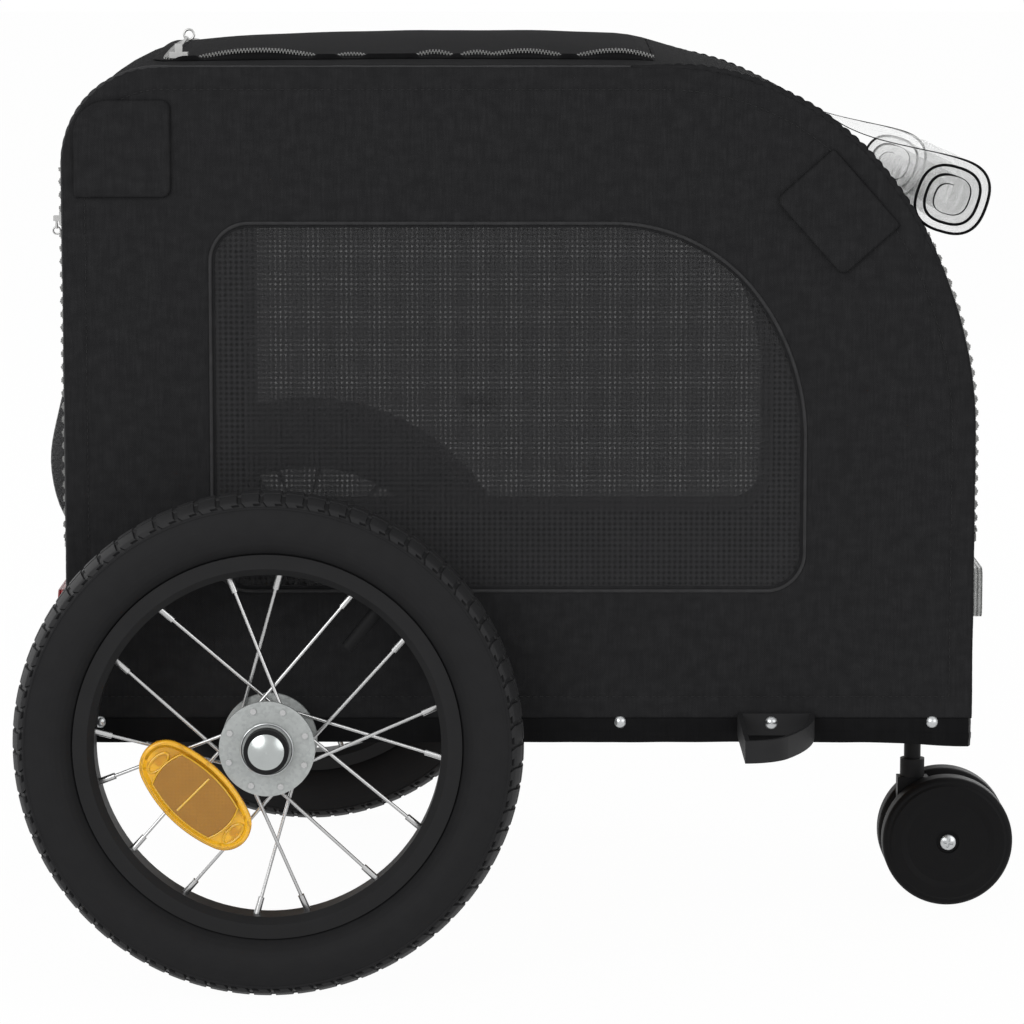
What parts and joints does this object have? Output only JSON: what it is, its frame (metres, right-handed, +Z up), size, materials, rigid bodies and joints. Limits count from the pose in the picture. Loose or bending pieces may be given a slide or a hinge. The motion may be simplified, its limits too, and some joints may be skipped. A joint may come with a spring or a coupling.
{
  "type": "dog bike trailer",
  "caption": "Fabric dog trailer cabin on a tube frame with spoked wheels, a swivel caster, mesh windows, zipped roof hatch and rear door, and a rolled-up clear front cover.",
  "frame": {"origin": "on the floor under the middle of the bounding box", "axes": "+X to the front where the caster is, +Y to the left, +Z up"},
  "size_m": [0.626, 0.618, 0.5754],
  "materials": {
    "polyester": "woven, matt",
    "pvc_hem": "coated cloth, satin",
    "mesh": "open mesh",
    "piping": "reflective piping",
    "clear_film": "clear soft film",
    "black_steel": "powder coat, satin",
    "bright_steel": "galvanised",
    "chrome_cap": "polished",
    "alloy": "pressed, dull",
    "black_plastic": "moulded, matt",
    "caster_grey": "moulded, satin",
    "tyre_rubber": "matt",
    "tube_rubber": "matt",
    "plywood": "sealed",
    "amber_lens": "reflex lens",
    "red_lens": "reflex lens",
    "clear_lens": "reflex lens"
  },
  "bodies": {
    "frame": {"base_rail_right": "black_steel", "base_rail_left": "black_steel", "base_cross_tubes": "black_steel", "axle_receivers": "black_steel", "floor_board": "plywood", "side_hoop_right": "black_steel", "side_hoop_left": "black_steel", "hoop_sockets": "black_plastic", "top_cross_bars": "black_steel", "corner_connectors": "black_plastic", "side_panel_right": "polyester", "side_panel_left": "polyester", "window_meshes": "mesh", "window_piping": "piping", "roof_panel": "polyester", "front_lower_panel": "polyester", "front_screen": "mesh", "hem_bands": "pvc_hem", "rail_screws": "bright_steel", "wheel_guards": "black_plastic", "guard_bolts": "bright_steel", "rear_reflectors": "red_lens", "front_reflectors": "clear_lens", "rolled_cover": "clear_film", "wheel_axles": "bright_steel", "axle_collars": "black_plastic", "caster_socket": "black_steel", "drawbar_socket": "black_steel"},
    "rear_door": {"rear_door": "polyester", "rear_door_mesh": "mesh"},
    "caster": {"caster_stem": "black_steel", "caster_housing": "black_plastic", "caster_axle": "bright_steel"},
    "wheel_right": {"tyre_right": "tyre_rubber", "inner_tube_right": "tube_rubber", "rim_right": "black_steel", "spokes_right": "bright_steel", "hub_shell_right": "alloy", "hub_bearings_right": "bright_steel", "spoke_reflector_right": "amber_lens"},
    "wheel_left": {"tyre_left": "tyre_rubber", "inner_tube_left": "tube_rubber", "rim_left": "black_steel", "spokes_left": "bright_steel", "hub_shell_left": "alloy", "hub_bearings_left": "bright_steel", "spoke_reflector_left": "amber_lens"},
    "roof_flap": {"roof_flap": "polyester"},
    "roof_zip_slider": {"roof_zip_slider": "bright_steel"},
    "roof_zip_pull": {"roof_zip_pull": "bright_steel"},
    "rear_zip_slider": {"rear_zip_slider": "bright_steel"},
    "rear_zip_pull": {"rear_zip_pull": "bright_steel"},
    "corner_flap_rear_right": {"corner_flap_rear_right": "polyester"},
    "corner_flap_rear_left": {"corner_flap_rear_left": "polyester"},
    "corner_flap_front_right": {"corner_flap_front_right": "polyester"},
    "corner_flap_front_left": {"corner_flap_front_left": "polyester"},
    "axle_button_right": {"axle_button_right": "chrome_cap"},
    "axle_button_left": {"axle_button_left": "chrome_cap"},
    "caster_wheel_right": {"caster_wheel_right": "caster_grey"},
    "caster_wheel_left": {"caster_wheel_left": "caster_grey"}
  },
  "joints": [
    {"name": "wheel_right_spin", "type": "hinge", "parent": "frame", "child": "wheel_right", "pos_m": [-0.1605, -0.265, 0.1525], "axis": [0, 1, 0], "continuous": true},
    {"name": "wheel_left_spin", "type": "hinge", "parent": "frame", "child": "wheel_left", "pos_m": [-0.1605, 0.265, 0.1525], "axis": [0, 1, 0], "continuous": true},
    {"name": "caster_swivel", "type": "hinge", "parent": "frame", "child": "caster", "pos_m": [0.2488, 0, 0.1], "axis": [0, 0, 1], "continuous": true},
    {"name": "caster_wheel_right_spin", "type": "hinge", "parent": "caster", "child": "caster_wheel_right", "pos_m": [0.2704, 0, 0.0426], "axis": [0, 1, 0], "continuous": true},
    {"name": "caster_wheel_left_spin", "type": "hinge", "parent": "caster", "child": "caster_wheel_left", "pos_m": [0.2704, 0, 0.0426], "axis": [0, 1, 0], "continuous": true},
    {"name": "axle_button_right_press", "type": "slide", "parent": "frame", "child": "axle_button_right", "axis": [0, 1, 0], "range_m": [0, 0.003], "stiffness_N_per_m": 300},
    {"name": "axle_button_left_press", "type": "slide", "parent": "frame", "child": "axle_button_left", "axis": [0, -1, 0], "range_m": [0, 0.003], "stiffness_N_per_m": 300},
    {"name": "rear_door_hinge", "type": "hinge", "parent": "frame", "child": "rear_door", "pos_m": [-0.2865, 0, 0.4914], "axis": [0, 1, 0], "range_deg": [0, 110]},
    {"name": "roof_flap_hinge", "type": "hinge", "parent": "frame", "child": "roof_flap", "pos_m": [0.0697, 0, 0.5715], "axis": [0, 1, 0], "range_deg": [0, 150]},
    {"name": "corner_flap_rear_right_hinge", "type": "hinge", "parent": "frame", "child": "corner_flap_rear_right", "pos_m": [-0.2774, -0.2159, 0.5], "axis": [0, 0, -1], "range_deg": [0, 100]},
    {"name": "corner_flap_rear_left_hinge", "type": "hinge", "parent": "frame", "child": "corner_flap_rear_left", "pos_m": [-0.2774, 0.2159, 0.5], "axis": [0, 0, 1], "range_deg": [0, 100]},
    {"name": "corner_flap_front_right_hinge", "type": "hinge", "parent": "frame", "child": "corner_flap_front_right", "pos_m": [0.1972, -0.2159, 0.4817], "axis": [-0.6639, 0, 0.7478], "range_deg": [0, 100]},
    {"name": "corner_flap_front_left_hinge", "type": "hinge", "parent": "frame", "child": "corner_flap_front_left", "pos_m": [0.1972, 0.2159, 0.4817], "axis": [0.6639, 0, -0.7478], "range_deg": [0, 100]},
    {"name": "roof_zip_run", "type": "slide", "parent": "frame", "child": "roof_zip_slider", "axis": [0.9999, 0, 0.0139], "range_m": [0, 0.267]},
    {"name": "roof_zip_pull_pin", "type": "hinge", "parent": "roof_zip_slider", "child": "roof_zip_pull", "pos_m": [-0.2164, -0.1798, 0.56363], "axis": [0, 1, 0], "range_deg": [-140, 0]},
    {"name": "rear_zip_run", "type": "slide", "parent": "frame", "child": "rear_zip_slider", "axis": [0, 0, -1], "range_m": [0, 0.176]},
    {"name": "rear_zip_pull_pin", "type": "hinge", "parent": "rear_zip_slider", "child": "rear_zip_pull", "pos_m": [-0.28959, -0.19868, 0.462], "axis": [0, 1, 0], "range_deg": [0, 165]}
  ]
}
